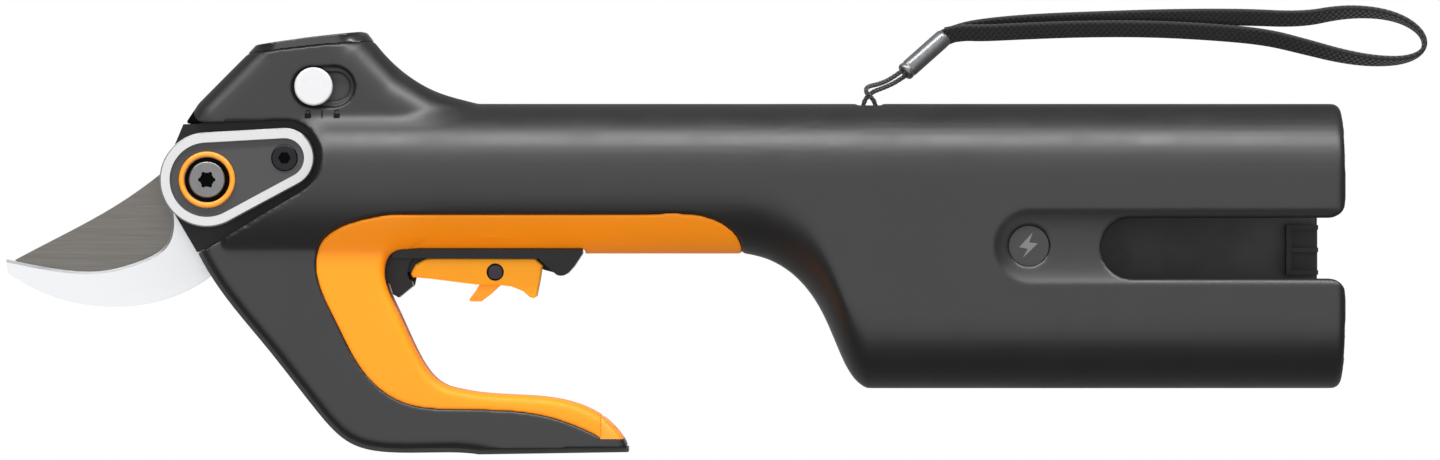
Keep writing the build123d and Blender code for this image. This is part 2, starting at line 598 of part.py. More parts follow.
with BuildPart() as output_bearing:
    add(lying(*BEARING_X, SHAFT_Y, SHAFT_Z, BEARING_R))
    add(lying(BEARING_X[0] - 1, BEARING_X[1] + 1, SHAFT_Y, SHAFT_Z, SHAFT_R + FIT),
        mode=Mode.SUBTRACT)
save("output_bearing", output_bearing.part)

# ---------------------------------------------------------------- drive
GEARBOX_X, MOTOR_X, MOTOR_R = (-99.4, -70.0), (-70.0, -22.0), 13.5

with BuildPart() as gearbox_housing:
    add(lying(GEARBOX_X[0], GEARBOX_X[0] + 4, SHAFT_Y, SHAFT_Z, 13.0))
    add(lying(GEARBOX_X[0] + 4, GEARBOX_X[1], SHAFT_Y, SHAFT_Z, 14.0))
    fillet(gearbox_housing.edges().filter_by(GeomType.CIRCLE).sort_by(Axis.X)[-1], 1.0)
    add(lying(GEARBOX_X[0] - 1, GEARBOX_X[0] + 3, SHAFT_Y, SHAFT_Z, 3.6), mode=Mode.SUBTRACT)
save("gearbox_housing", gearbox_housing.part)

with BuildPart() as motor_can:
    add(lying(*MOTOR_X, SHAFT_Y, SHAFT_Z, MOTOR_R))
    fillet(motor_can.edges().filter_by(GeomType.CIRCLE).sort_by(Axis.X)[-1], 1.5)
    add(lying(MOTOR_X[1] - 0.5, MOTOR_X[1] + 2.5, SHAFT_Y, SHAFT_Z, 5.0))
save("motor_can", motor_can.part)

with BuildPart() as motor_terminals:
    for y in (SHAFT_Y - 8.0, SHAFT_Y + 8.0):
        add(box(MOTOR_X[1], MOTOR_X[1] + 5.0, y - 1.5, y + 1.5, SHAFT_Z - 0.4, SHAFT_Z + 0.4))
save("motor_terminals", motor_terminals.part)

# ---------------------------------------------------------------- trigger group
TRIGGER_SIDE = [(-72.3, -4.5), (-41.4, -4.6), (-39.2, -6.6), (-39.9, -11.0), (-40.9, -16.0),
                (-41.9, -16.6), (-42.9, -16.3), (-44.9, -14.5), (-48.4, -13.1),
                (-52.4, -12.6), (-59.1, -12.5), (-72.3, -10.8), (-78.0, -10.3),
                (-78.5, -9.1), (-77.2, -6.6), (-74.2, -4.8)]
HOLLOW = [(-80.0, -4.0), (-46.5, -4.0), (-46.5, -10.6), (-59.1, -10.8), (-69.5, -9.5),
          (-80.0, -9.4)]
LEVER_SIDE = [(-50.6, -11.6), (-54.8, -15.5), (-57.6, -17.6), (-60.8, -17.6), (-61.2, -17.0),
              (-59.3, -14.5), (-58.0, -12.3), (-56.4, -8.8)]
BLOCK = [(-86.5, -1.9), (-86.5, -11.9), (-84.9, -12.3), (-83.9, -15.4), (-82.2, -16.4),
         (-77.9, -12.9), (-78.2, -11.6), (-79.3, -10.6), (-79.6, -8.8), (-78.9, -6.0),
         (-77.0, -3.6), (-77.0, -1.9)]
REAR_NUB = [(-37.4, -1.9), (-37.4, -7.3), (-35.5, -9.1), (-34.7, -9.7), (-33.8, -9.9),
            (-32.8, -9.8), (-31.5, -9.1), (-29.7, -7.1), (-27.2, -3.3), (-27.2, -1.9)]
RAIL = [(-84.0, -3.0), (-84.0, -4.6), (-40.3, -4.8), *REAR_NUB[2:-1], (-27.2, -3.0)]
RAIL_Z = (7.3, 9.0)                           # side rails that hide the trigger's gap
WEBS = [[(-83.0, -3.0), (-83.0, -12.0), (-77.9, -12.9), (-77.0, -9.0), (-77.0, -3.0)],
        [(-43.0, -3.0), (-43.0, -5.5), (-39.0, -8.2), (-35.5, -9.1), (-35.5, -3.0)]]
WEB_Z = (-9.0, -6.8)                          # webs behind the gaps at the trigger's ends
LUG_R, PIN_R = 2.2, 1.0
SPRING_AT = (-68.2, -9.2, -3.6)               # x, lower end, upper end
PLUNGER_X, PLUNGER_R = -44.5, 0.9
PLUNGER_Y = (-4.25, 0.55)                     # ends of the plunger at rest
PLUNGER_BORE = 5.4                            # leaves room for its whole travel
SWITCH_Y = (-0.2, 5.0)

with BuildPart() as trigger_frame:
    add(box(-84.4, -27.2, *FRAME_STRIP, -9.0, 9.0))
    add(box(*WINDOW_X, -5.0, 0.0, -WINDOW_HALF, WINDOW_HALF), mode=Mode.SUBTRACT)
    add(box(-71.0, -65.2, *FRAME_STRIP, -8.0, 8.0))
    add(prism(BLOCK, -6.5, 6.5))
    add(prism(REAR_NUB, -RAIL_Z[0], RAIL_Z[0]))
    add(prism(RAIL, *RAIL_Z))
    add(prism(RAIL, -RAIL_Z[1], -RAIL_Z[0]))
    for web in WEBS:
        add(prism(web, *WEB_Z))
    add(prism([(-81.5, -2.5), (-70.0, -2.5), (-71.0, -5.5), (-73.0, -8.8), (-80.5, -8.8)],
              -3.9, 3.9))
    add(post(*TRIGGER_PIVOT, LUG_R, -3.9, 3.9))
    add(post(*TRIGGER_PIVOT, PIN_R, -5.0, 5.0), mode=Mode.SUBTRACT)
save("trigger_frame", trigger_frame.part)

with BuildPart() as trigger:
    add(prism(TRIGGER_SIDE, -TRIGGER_HALF, TRIGGER_HALF))
    fillet(trigger.edges().filter_by(Axis.Z), 0.5)
    chamfer(trigger.faces().filter_by(Axis.Z).edges(), 0.45)
    add(prism(HOLLOW, -TRIGGER_HOLLOW, TRIGGER_HOLLOW), mode=Mode.SUBTRACT)
    add(box(-66.5, -49.6, -14.0, -9.0, -3.3, 3.3), mode=Mode.SUBTRACT)
    add(post(*TRIGGER_PIVOT, PIN_R + FIT, -5.1, 5.1), mode=Mode.SUBTRACT)
    add(post(*LEVER_PIN, 1.5, -8.0, 8.0), mode=Mode.SUBTRACT)
save("trigger", trigger.part)

with BuildPart() as trigger_pivot_pin:
    add(post(*TRIGGER_PIVOT, PIN_R, -5.0, 5.0))
save("trigger_pivot_pin", trigger_pivot_pin.part)

with BuildPart() as trigger_safety_lever:
    add(prism(LEVER_SIDE, -2.9, 2.9))
    add(post(*LEVER_PIN, 3.1, -2.9, 2.9))
    add(post(*LEVER_PIN, 1.5 + FIT, -4.0, 4.0), mode=Mode.SUBTRACT)
save("trigger_safety_lever", trigger_safety_lever.part)

with BuildPart() as safety_lever_pin:         # domed ends show on both sides
    add(post(*LEVER_PIN, 1.5, -TRIGGER_HALF, TRIGGER_HALF))
    for low, high in ((-TRIGGER_HALF - 0.7, -TRIGGER_HALF), (TRIGGER_HALF, TRIGGER_HALF + 0.7)):
        add(post(*LEVER_PIN, 2.6, low, high))
    fillet(safety_lever_pin.faces().sort_by(Axis.Z)[-1].edges(), 0.5)
    fillet(safety_lever_pin.faces().sort_by(Axis.Z)[0].edges(), 0.5)
save("safety_lever_pin", safety_lever_pin.part)

with BuildPart() as trigger_return_spring:
    x, low, high = SPRING_AT
    with BuildLine() as coil:
        Helix(pitch=(high - low) / 5, height=high - low, radius=1.4, center=(x, low, MID),
              direction=(0, 1, 0))
    with BuildSketch(Plane(origin=coil.line @ 0, z_dir=coil.line % 0)):
        Circle(0.25)
    sweep()
save("trigger_return_spring", trigger_return_spring.part)

with BuildPart() as trigger_switch:
    add(box(-50.5, -37.8, *SWITCH_Y, -3.0, 3.0))
    chamfer(trigger_switch.edges().filter_by(Axis.Z), 0.4)
    with BuildSketch(Plane(origin=(PLUNGER_X, SWITCH_Y[0] - 1, MID), z_dir=(0, 1, 0))):
        Circle(PLUNGER_R + FIT)
    extrude(amount=PLUNGER_BORE, mode=Mode.SUBTRACT)
save("trigger_switch", trigger_switch.part)

with BuildPart() as switch_plunger:
    with BuildSketch(Plane(origin=(PLUNGER_X, PLUNGER_Y[0], MID), z_dir=(0, 1, 0))):
        Circle(PLUNGER_R)
    extrude(amount=PLUNGER_Y[1] - PLUNGER_Y[0])
save("switch_plunger", switch_plunger.part)

# ---------------------------------------------------------------- lock slider
with BuildPart() as lock_slider_knob:
    add(post(*SLIDER_AT, NECK_R, 10.7, 12.8))
    add(post(*SLIDER_AT, 5.7, 12.7, 15.4))
    fillet(lock_slider_knob.faces().sort_by(Axis.Z)[-1].edges(), 0.6)
save("lock_slider_knob", lock_slider_knob.part)

with BuildPart() as lock_slider_carrier:
    add(box(-116.0, -94.0, SLIDER_AT[1] - 5.3, SLIDER_AT[1] + 5.3, 8.8, 10.7))
    add(box(-110.0, -107.0, SLIDER_AT[1] - 2.0, SLIDER_AT[1] + 2.0, 7.2, 8.8))
save("lock_slider_carrier", lock_slider_carrier.part)

with BuildPart() as lock_switch:
    add(box(-112.0, -96.0, SLIDER_AT[1] - 4.0, SLIDER_AT[1] + 4.0, 1.0, 8.2))
    add(box(-111.0, -99.5, SLIDER_AT[1] - 2.4, SLIDER_AT[1] + 2.4, 6.6, 9.0),
        mode=Mode.SUBTRACT)
save("lock_switch", lock_switch.part)

# ---------------------------------------------------------------- electronics and bay
with BuildPart() as controller_board:
    add(box(-14.0, 52.0, 6.0, 32.0, -8.0, -6.4))
save("controller_board", controller_board.part)

with BuildPart() as board_components:
    for x, y, length, width, height in ((-6, 12, 10, 10, 3), (-6, 26, 8, 6, 2), (10, 19, 14, 14, 2.2),
                                        (28, 12, 9, 6, 6), (28, 25, 9, 6, 6), (43, 19, 8, 18, 4)):
        add(box(x - length / 2, x + length / 2, y - width / 2, y + width / 2, -6.4,
                -6.4 + height))
save("board_components", board_components.part)

with BuildPart() as battery_terminal_block:
    add(box(66.0, 82.0, -13.9, 11.9, -8.9, 8.9))
    fillet(battery_terminal_block.edges().filter_by(Axis.X), 1.5)
save("battery_terminal_block", battery_terminal_block.part)

with BuildPart() as battery_terminals:
    for y in (-9.0, -3.0, 3.0, 7.5):
        add(box(82.0, 90.0, y - 0.4, y + 0.4, -3.0, 3.0))
save("battery_terminals", battery_terminals.part)

with BuildPart() as battery_catch:            # bracket with three ribs on the far wall
    floor = WALL - MID
    add(box(184.9, 194.6, -9.7, 5.3, floor, floor + 1.6))
    for y in (-9.7, -2.9, 3.9):
        add(box(184.9, 194.6, y, y + 1.4, floor + 1.6, floor + 5.0))
    add(box(184.9, 186.4, -9.7, 5.3, floor + 1.6, floor + 6.0))
save("battery_catch", battery_catch.part)

with BuildPart() as charge_indicator_lens:
    add(post(*LENS_AT, LENS_R, MID - GROOVE_DEPTH - 1.4, MID - GROOVE_DEPTH + 0.05))
save("charge_indicator_lens", charge_indicator_lens.part)

with BuildPart() as power_leads:              # clipped between terminal block and motor
    for y, bend in ((SHAFT_Y - 8.0, 4.0), (SHAFT_Y + 8.0, 12.0)):
        with BuildLine() as lead:
            FilletPolyline((MOTOR_X[1] + 5.0, y, MID + SHAFT_Z), (22.0, y, MID + SHAFT_Z),
                           (48.0, y - 2 * bend, MID + SHAFT_Z), (66.0, y - 2 * bend, MID + SHAFT_Z),
                           radius=15.0)
        with BuildSketch(Plane(origin=lead.line @ 0, z_dir=lead.line % 0)):
            Circle(1.1)
        sweep()
save("power_leads", power_leads.part)

# ---------------------------------------------------------------- strap
with BuildPart() as strap_anchor_bar:
    add(post(*STRAP_BAR, 1.3, -7.0, 7.0))
save("strap_anchor_bar", strap_anchor_bar.part)

SLEEVE_LOW, SLEEVE_HIGH, SLEEVE_R = (69.5, 51.2, 9.0), (82.0, 62.3, 4.0), 2.9
CORD_D, WEB_D = 1.45, 3.0                     # cord; round stand-in for the webbing
CORD_ROUTE = [(68.9, 51.9, 9.0), (65.6, 49.4, 11.2), (61.8, 47.7, 15.5), (58.0, 46.9, 20.4),
              (57.6, 45.0, 23.6), (60.4, 42.6, 24.0), (60.85, 38.6, 23.2),
              (60.85, 34.3, 22.6), (56.75, 34.3, 22.0), (56.75, 38.4, 21.4),
              (57.0, 42.4, 21.0), (59.4, 45.2, 18.6), (63.4, 46.7, 14.0), (66.9, 48.3, 10.6),
              (70.1, 50.5, 9.0)]
WEB_ROUTE = [(81.7, 62.0, 2.45), (86.5, 64.0, 2.5), (94.0, 65.4, 2.6), (108.0, 66.7, 2.8),
             (128.0, 67.5, 3.0), (150.0, 68.2, 3.0), (172.0, 68.3, 3.0), (190.0, 67.5, 3.0),
             (202.0, 69.9, 3.0), (213.0, 69.7, 3.0), (221.5, 67.3, 3.0), (227.0, 62.9, 3.0),
             (227.3, 58.0, 3.0), (221.5, 55.1, 3.0), (212.0, 54.9, 3.0), (202.0, 56.4, 3.0),
             (191.0, 59.3, 3.1), (179.0, 62.3, 3.2), (162.0, 63.8, 3.6), (143.0, 64.7, 4.4),
             (123.0, 64.6, 5.2), (105.0, 63.9, 5.9), (93.0, 63.3, 6.2), (87.0, 63.6, 6.1),
             (82.3, 62.6, 5.55)]


def route_radii(route):
    """Largest arcs that fit each corner of a route."""
    points = [Vector(*p) for p in route]
    radii = []
    for before, corner, after in zip(points, points[1:], points[2:]):
        into, out = corner - before, after - corner
        turn = radians(into.get_angle(out))
        radii.append(0.45 * min(into.length, out.length) / tan(turn / 2))
    return radii


def cord_tube(name, route, diameter):
    """Round tube of straight runs and tangent arcs along a route."""
    radii = route_radii(route)
    with BuildPart() as tube:
        with BuildLine() as path:
            FilletPolyline(*route, radius=radii)
        with BuildSketch(Plane(origin=path.line @ 0, z_dir=path.line % 0)):
            Circle(diameter / 2)
        sweep()
    length = sum(run.length for run in path.edges())
    expected = length * pi * diameter ** 2 / 4
    print(name, "length", round(length, 1), "radii",
          [round(r, 1) for r in radii], "volume ratio", round(tube.part.volume / expected, 4))
    save(name, tube.part)


cord_tube("strap_lead_cord", CORD_ROUTE, CORD_D)
cord_tube("strap_webbing", WEB_ROUTE, WEB_D)

with BuildPart() as strap_sleeve:
    along = Vector(*SLEEVE_HIGH) - Vector(*SLEEVE_LOW)
    with BuildSketch(Plane(origin=SLEEVE_LOW, z_dir=along)):
        Circle(SLEEVE_R)
    extrude(amount=along.length)
    fillet(strap_sleeve.edges().filter_by(GeomType.CIRCLE), 0.5)
save("strap_sleeve", strap_sleeve.part)
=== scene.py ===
"""Looks of the battery electric pruner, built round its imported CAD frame. Metres throughout."""
import math

import bpy
import bmesh
import numpy as np
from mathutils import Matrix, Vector
from mathutils.bvhtree import BVHTree


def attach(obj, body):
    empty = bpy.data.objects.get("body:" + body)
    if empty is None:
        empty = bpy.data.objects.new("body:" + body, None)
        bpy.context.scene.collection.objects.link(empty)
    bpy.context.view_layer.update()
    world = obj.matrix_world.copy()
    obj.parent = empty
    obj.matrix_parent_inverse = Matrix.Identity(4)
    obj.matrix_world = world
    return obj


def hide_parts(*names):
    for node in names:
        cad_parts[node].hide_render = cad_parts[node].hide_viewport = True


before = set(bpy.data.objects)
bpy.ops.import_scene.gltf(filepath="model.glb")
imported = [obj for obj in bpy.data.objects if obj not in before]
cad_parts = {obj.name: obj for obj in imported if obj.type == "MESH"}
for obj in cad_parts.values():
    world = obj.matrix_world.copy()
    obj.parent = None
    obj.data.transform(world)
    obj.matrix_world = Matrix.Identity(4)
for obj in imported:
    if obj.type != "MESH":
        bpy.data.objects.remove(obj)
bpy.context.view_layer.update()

MM = 0.001
MID = 0.0225                       # height of the parting plane above the table

# ------------------------------------------------------------------ camera
VIEW_WIDTH = 0.432                 # what the picture's width covers at the parting plane
VIEW_CENTRE = (0.01395, 0.00381)
CAMERA_HEIGHT = 2.2

camera_data = bpy.data.cameras.new("camera")
camera_data.sensor_width = 36.0
camera_data.lens = camera_data.sensor_width * CAMERA_HEIGHT / VIEW_WIDTH
camera = bpy.data.objects.new("camera", camera_data)
camera.location = (VIEW_CENTRE[0], VIEW_CENTRE[1], MID + CAMERA_HEIGHT)
bpy.context.scene.collection.objects.link(camera)
bpy.context.scene.camera = camera


# ------------------------------------------------------------------ helpers
def millimetres(points):
    """Points given in millimetres, as vectors in metres."""
    return [Vector(p) * MM for p in points]


def mesh_piece(name, verts, faces):
    """New smoothly shaded mesh object from vertices and faces."""
    mesh = bpy.data.meshes.new(name)
    mesh.from_pydata([tuple(v) for v in verts], [], faces)
    mesh.validate()
    mesh.update()
    piece = bpy.data.objects.new(name, mesh)
    bpy.context.scene.collection.objects.link(piece)
    mesh.shade_smooth()
    return piece


def smooth_curve(name, points):
    """One NURBS spline with the given control points."""
    data = bpy.data.curves.new(name, "CURVE")
    data.dimensions = "3D"
    spline = data.splines.new("NURBS")
    spline.points.add(len(points) - 1)
    for target, point in zip(spline.points, points):
        target.co = (*point, 1.0)
    spline.order_u = 3
    spline.use_endpoint_u = True
    spline.resolution_u = 12
    piece = bpy.data.objects.new(name, data)
    bpy.context.scene.collection.objects.link(piece)
    return piece


def points_along(curve):
    """The points of a curve's own line, in order."""
    bpy.context.view_layer.update()
    mesh = bpy.data.meshes.new_from_object(curve)
    points = [v.co.copy() for v in mesh.vertices]
    bpy.data.meshes.remove(mesh)
    return points


def resampled(points, count):
    """The same line at evenly spaced points."""
    lengths = [0.0]
    for a, b in zip(points, points[1:]):
        lengths.append(lengths[-1] + (b - a).length)
    result, i = [], 0
    for k in range(count):
        want = lengths[-1] * k / (count - 1)
        while i < len(points) - 2 and lengths[i + 1] < want:
            i += 1
        step = (want - lengths[i]) / max(lengths[i + 1] - lengths[i], 1e-9)
        result.append(points[i].lerp(points[i + 1], min(max(step, 0.0), 1.0)))
    return result, lengths[-1]


def tube_faces(rings, sides):
    """Quads between rings of equal size, with end caps."""
    faces = []
    for r in range(rings - 1):
        for s in range(sides):
            t = (s + 1) % sides
            faces.append((r * sides + s, r * sides + t, (r + 1) * sides + t, (r + 1) * sides + s))
    faces.append(tuple(reversed(range(sides))))
    faces.append(tuple(range((rings - 1) * sides, rings * sides)))
    return faces


# ------------------------------------------------------------------ materials
def new_material(name, color, roughness, metallic=0.0, coat=0.0, specular=0.5):
    """Principled material with its plain values set on the shader."""
    mat = bpy.data.materials.new(name)
    mat.use_nodes = True
    shader = mat.node_tree.nodes["Principled BSDF"]
    shader.inputs["Base Color"].default_value = (*color, 1.0)
    shader.inputs["Roughness"].default_value = roughness
    shader.inputs["Metallic"].default_value = metallic
    shader.inputs["Coat Weight"].default_value = coat
    shader.inputs["Specular IOR Level"].default_value = specular
    return mat, mat.node_tree, shader


def stretched_coordinates(tree, scale, turn=0.0):
    """Object coordinates scaled along each axis, after a turn about Z."""
    place = tree.nodes.new("ShaderNodeTexCoord")
    mapping = tree.nodes.new("ShaderNodeMapping")
    mapping.inputs["Rotation"].default_value = (0.0, 0.0, turn)
    mapping.inputs["Scale"].default_value = scale
    tree.links.new(place.outputs["Object"], mapping.inputs["Vector"])
    return mapping.outputs["Vector"]


def noise(tree, vector, scale, detail=4.0, roughness=0.55):
    """Noise texture's factor."""
    node = tree.nodes.new("ShaderNodeTexNoise")
    node.inputs["Scale"].default_value = scale
    node.inputs["Detail"].default_value = detail
    node.inputs["Roughness"].default_value = roughness
    tree.links.new(vector, node.inputs["Vector"])
    return node.outputs["Fac"]


def ranged(tree, value, low, high, from_low=0.3, from_high=0.7):
    """A factor mapped onto a range."""
    node = tree.nodes.new("ShaderNodeMapRange")
    node.inputs["From Min"].default_value = from_low
    node.inputs["From Max"].default_value = from_high
    node.inputs["To Min"].default_value = low
    node.inputs["To Max"].default_value = high
    tree.links.new(value, node.inputs["Value"])
    return node.outputs["Result"]


def tinted(tree, value, dark, light):
    """Two colours mixed by a factor."""
    node = tree.nodes.new("ShaderNodeMix")
    node.data_type = "RGBA"
    node.inputs["A"].default_value = (*dark, 1.0)
    node.inputs["B"].default_value = (*light, 1.0)
    tree.links.new(value, node.inputs["Factor"])
    return node.outputs["Result"]


def bumped(tree, shader, height, strength, distance):
    """Bump from a height on the shader's normal."""
    node = tree.nodes.new("ShaderNodeBump")
    node.inputs["Strength"].default_value = strength
    node.inputs["Distance"].default_value = distance
    tree.links.new(height, node.inputs["Height"])
    tree.links.new(node.outputs["Normal"], shader.inputs["Normal"])


def scaled_color(color, factor):
    """A colour made lighter or darker."""
    return tuple(min(c * factor, 1.0) for c in color)


def moulded_plastic(name, color, roughness=0.45, grain=2600.0, depth=0.00003, strength=0.25,
                    variation=0.06, coat=0.0, specular=0.5):
    """Moulded plastic: spark-eroded grain, faint cloudiness and handling marks."""
    mat, tree, shader = new_material(name, color, roughness, coat=coat, specular=specular)
    plain = stretched_coordinates(tree, (1.0, 1.0, 1.0))
    clouds = noise(tree, plain, 18.0, 3.0)
    tree.links.new(tinted(tree, ranged(tree, clouds, 0.0, 1.0), scaled_color(color, 1 - variation),
                          scaled_color(color, 1 + variation)), shader.inputs["Base Color"])
    handling = noise(tree, plain, 55.0, 6.0, 0.7)
    tree.links.new(ranged(tree, handling, roughness - 0.05, roughness + 0.06),
                   shader.inputs["Roughness"])
    bumped(tree, shader, noise(tree, plain, grain, 2.0, 0.5), strength, depth)
    return mat


def brushed_metal(name, color, roughness, stretch, turn, strength=0.12, variation=0.12,
                  metallic=1.0):
    """Metal ground in one direction."""
    mat, tree, shader = new_material(name, color, roughness, metallic)
    lines = noise(tree, stretched_coordinates(tree, stretch, turn), 1.0, 5.0, 0.75)
    tree.links.new(tinted(tree, ranged(tree, lines, 0.0, 1.0), scaled_color(color, 1 - variation),
                          scaled_color(color, 1 + variation)), shader.inputs["Base Color"])
    tree.links.new(ranged(tree, lines, roughness - 0.07, roughness + 0.07),
                   shader.inputs["Roughness"])
    bumped(tree, shader, lines, strength, 0.00004)
    return mat


HOUSING = (0.009, 0.009, 0.0094)
ORANGE = (0.82, 0.245, 0.005)

materials = {
    "housing": moulded_plastic("housing_black", HOUSING, 0.42, 2400.0, 0.00003, 0.30),
    "grip": moulded_plastic("grip_orange", ORANGE, 0.50, 1500.0, 0.00004, 0.35, 0.04,
                            specular=0.25),
    "guard": moulded_plastic("guard_black", (0.008, 0.008, 0.009), 0.45),
    "cap": moulded_plastic("cap_black", (0.012, 0.012, 0.013), 0.26, 300.0, 0.00001, 0.05,
                           coat=0.3),
    "frame": moulded_plastic("frame_black", (0.006, 0.006, 0.006), 0.4, 1400.0, specular=0.2),
    "insert": moulded_plastic("insert_dark", (0.028, 0.028, 0.029), 0.40, 2000.0),
    "ring": moulded_plastic("ring_orange", (0.80, 0.25, 0.010), 0.26, 900.0, 0.00002, 0.1),
    # Painted light: the trigger's orange is brighter than the grip's to make up for the light that
    # the handle above keeps off it.
    "trigger": moulded_plastic("trigger_orange", (1.0, 0.37, 0.014), 0.46, 1800.0,
                               specular=0.15),
    "lever": moulded_plastic("lever_orange", (1.0, 0.38, 0.03), 0.46, 1800.0,
                             specular=0.15),
    "trigger_black": moulded_plastic("trigger_black", (0.008, 0.008, 0.008), 0.38, 1800.0,
                                     specular=0.25),
    "part_black": moulded_plastic("part_black", (0.020, 0.020, 0.021), 0.5, 1200.0),
    "knob": moulded_plastic("knob_silver", (0.50, 0.50, 0.51), 0.28, 1500.0, 0.00002, 0.1,
                            0.02),
    "lens": moulded_plastic("lens_smoke", (0.014, 0.014, 0.015), 0.34, 900.0, 0.00001, 0.05),
    "mark_dark": moulded_plastic("mark_dark", (0.004, 0.004, 0.004), 0.6, 900.0,
                                 specular=0.05),
    "mark_grey": moulded_plastic("mark_grey", (0.11, 0.11, 0.115), 0.4, 900.0),
    "board": moulded_plastic("board_green", (0.015, 0.12, 0.05), 0.3, 900.0),
    "bright": brushed_metal("bright_steel", (0.52, 0.52, 0.525), 0.34, (160.0, 160.0, 160.0),
                            0.5, 0.02, 0.015, 0.75),
    "hook": brushed_metal("hook_steel", (0.585, 0.595, 0.61), 0.34, (30.0, 1600.0, 60.0), 0.15,
                          0.03, 0.02, 0.8),
    "blade": brushed_metal("blade_dark", (0.140, 0.133, 0.123), 0.42, (50.0, 2600.0, 60.0),
                           -0.45, 0.16, 0.20, 0.9),
    "bolt": brushed_metal("bolt_grey", (0.17, 0.17, 0.175), 0.34, (400.0, 400.0, 60.0), 0.0),
    "screw": brushed_metal("screw_black", (0.022, 0.021, 0.024), 0.18, (400.0, 400.0, 60.0), 0.0),
    "pin": brushed_metal("pin_dark", (0.036, 0.031, 0.040), 0.12, (400.0, 400.0, 60.0), 0.0,
                         0.02),
    "gear": brushed_metal("gear_steel", (0.40, 0.40, 0.41), 0.32, (700.0, 60.0, 60.0), 0.0),
    "bronze": brushed_metal("bushing_bronze", (0.55, 0.38, 0.18), 0.35, (60.0, 60.0, 600.0), 0.0),
    "motor": brushed_metal("motor_steel", (0.50, 0.50, 0.52), 0.30, (60.0, 600.0, 600.0), 0.0),
    "contact": brushed_metal("contact_brass", (0.75, 0.52, 0.22), 0.25, (600.0, 60.0, 60.0), 0.0),
    "sleeve": brushed_metal("sleeve_grey", (0.15, 0.152, 0.158), 0.32, (500.0, 60.0, 60.0), 0.73,
                            0.05, 0.1, 0.6),
}

NODE_MATERIALS = {
    "housing": ("left_housing_shell", "right_housing_shell"),
    "grip": ("left_grip_overmould", "right_grip_overmould"),
    "guard": ("guard_bumper_strip", "power_leads"),
    "cap": ("head_top_cap",),
    "frame": ("head_frame",),
    "insert": ("left_pivot_insert",),
    "ring": ("pivot_accent_ring",),
    "trigger": ("trigger",),
    "lever": ("trigger_safety_lever",),
    "trigger_black": ("trigger_frame", "battery_catch"),
    "part_black": ("trigger_switch", "switch_plunger", "lock_slider_carrier", "lock_switch",
                   "board_components", "battery_terminal_block"),
    "knob": ("lock_slider_knob",),
    "lens": ("charge_indicator_lens",),
    "board": ("controller_board",),
    "bright": ("left_pivot_plate", "right_pivot_plate", "strap_anchor_bar"),
    "hook": ("fixed_blade",),
    "blade": ("moving_blade",),
    "bolt": ("pivot_bolt", "pivot_nut"),
    "screw": ("plate_screw", "hook_screws", "case_screws", "safety_lever_pin"),
    "gear": ("blade_sector_gear", "bevel_pinion", "output_shaft", "trigger_pivot_pin",
             "trigger_return_spring"),
    "bronze": ("pivot_bushing",),
    "motor": ("gearbox_housing", "motor_can", "output_bearing"),
    "contact": ("motor_terminals", "battery_terminals"),
}


def repainted(material, color, tests, shaded_without_shine=False):
    """Another colour where a point passes every test: what is measured, < or >, and the limit.

    Measured are x, y, z, and the distance from the handle's axis, called radius. Where the last
    flag is set, the shine goes too, so that the painted shade there takes no reflection.
    """
    tree = materials[material].node_tree
    base = tree.nodes["Principled BSDF"].inputs["Base Color"]
    place = tree.nodes.new("ShaderNodeTexCoord")
    split = tree.nodes.new("ShaderNodeSeparateXYZ")
    from_axis = tree.nodes.new("ShaderNodeMapping")
    from_axis.inputs["Scale"].default_value = (0.0, 1.0, 1.0)
    from_axis.inputs["Location"].default_value = (0.0, -TUBE_Y, -MID)
    radius = tree.nodes.new("ShaderNodeVectorMath")
    radius.operation = "LENGTH"
    tree.links.new(place.outputs["Object"], split.inputs[0])
    tree.links.new(place.outputs["Object"], from_axis.inputs["Vector"])
    tree.links.new(from_axis.outputs["Vector"], radius.inputs[0])
    measured = {"x": split.outputs[0], "y": split.outputs[1], "z": split.outputs[2],
                "radius": radius.outputs["Value"]}
    mix = tree.nodes.new("ShaderNodeMix")
    mix.data_type = "RGBA"
    mix.inputs["B"].default_value = (*color, 1.0)
    tree.links.new(base.links[0].from_socket, mix.inputs["A"])
    passed = None
    for value, relation, limit in tests:
        test = tree.nodes.new("ShaderNodeMath")
        test.operation = {"<": "LESS_THAN", ">": "GREATER_THAN"}[relation]
        test.inputs[1].default_value = limit
        tree.links.new(measured[value], test.inputs[0])
        both = tree.nodes.new("ShaderNodeMath")
        both.operation = "MULTIPLY"
        both.inputs[0].default_value = 1.0
        if passed:
            tree.links.new(passed, both.inputs[0])
        tree.links.new(test.outputs[0], both.inputs[1])
        passed = both.outputs[0]
    tree.links.new(passed, mix.inputs["Factor"])
    tree.links.new(mix.outputs["Result"], base)
    if shaded_without_shine:
        shine = tree.nodes["Principled BSDF"].inputs["Specular IOR Level"]
        less = tree.nodes.new("ShaderNodeMath")
        less.operation = "MULTIPLY_ADD"
        less.inputs[1].default_value = -shine.default_value
        less.inputs[2].default_value = shine.default_value
        tree.links.new(passed, less.inputs[0])
        tree.links.new(less.outputs[0], shine)


def paint(piece, material):
    """Give every material slot of a piece this material."""
    if not piece.material_slots:
        piece.data.materials.append(materials[material])
    for slot in piece.material_slots:
        slot.material = materials[material]


TUBE_R, TUBE_Y = 0.0225, 0.0192    # the round handle
PAINTED_SHADE_BLACK = (0.003, 0.003, 0.003)
# Painted shade: the bolt's flange and socket, the plate screw's socket and the inside of the handle
# are coloured nearly black where shade falls. The inside of the handle also loses its shine. The
# last of the overmould at the guard's tip is coloured orange, its own colour.
# Painted shade: below 14.1 mm above the parting plane the bolt's material is nearly black. This
# darkens its flange round the shank and the floor of its socket. The pivot nut lies wholly below
# that height and is nearly black all over.
repainted("bolt", PAINTED_SHADE_BLACK, [("z", "<", MID + 0.0141)])
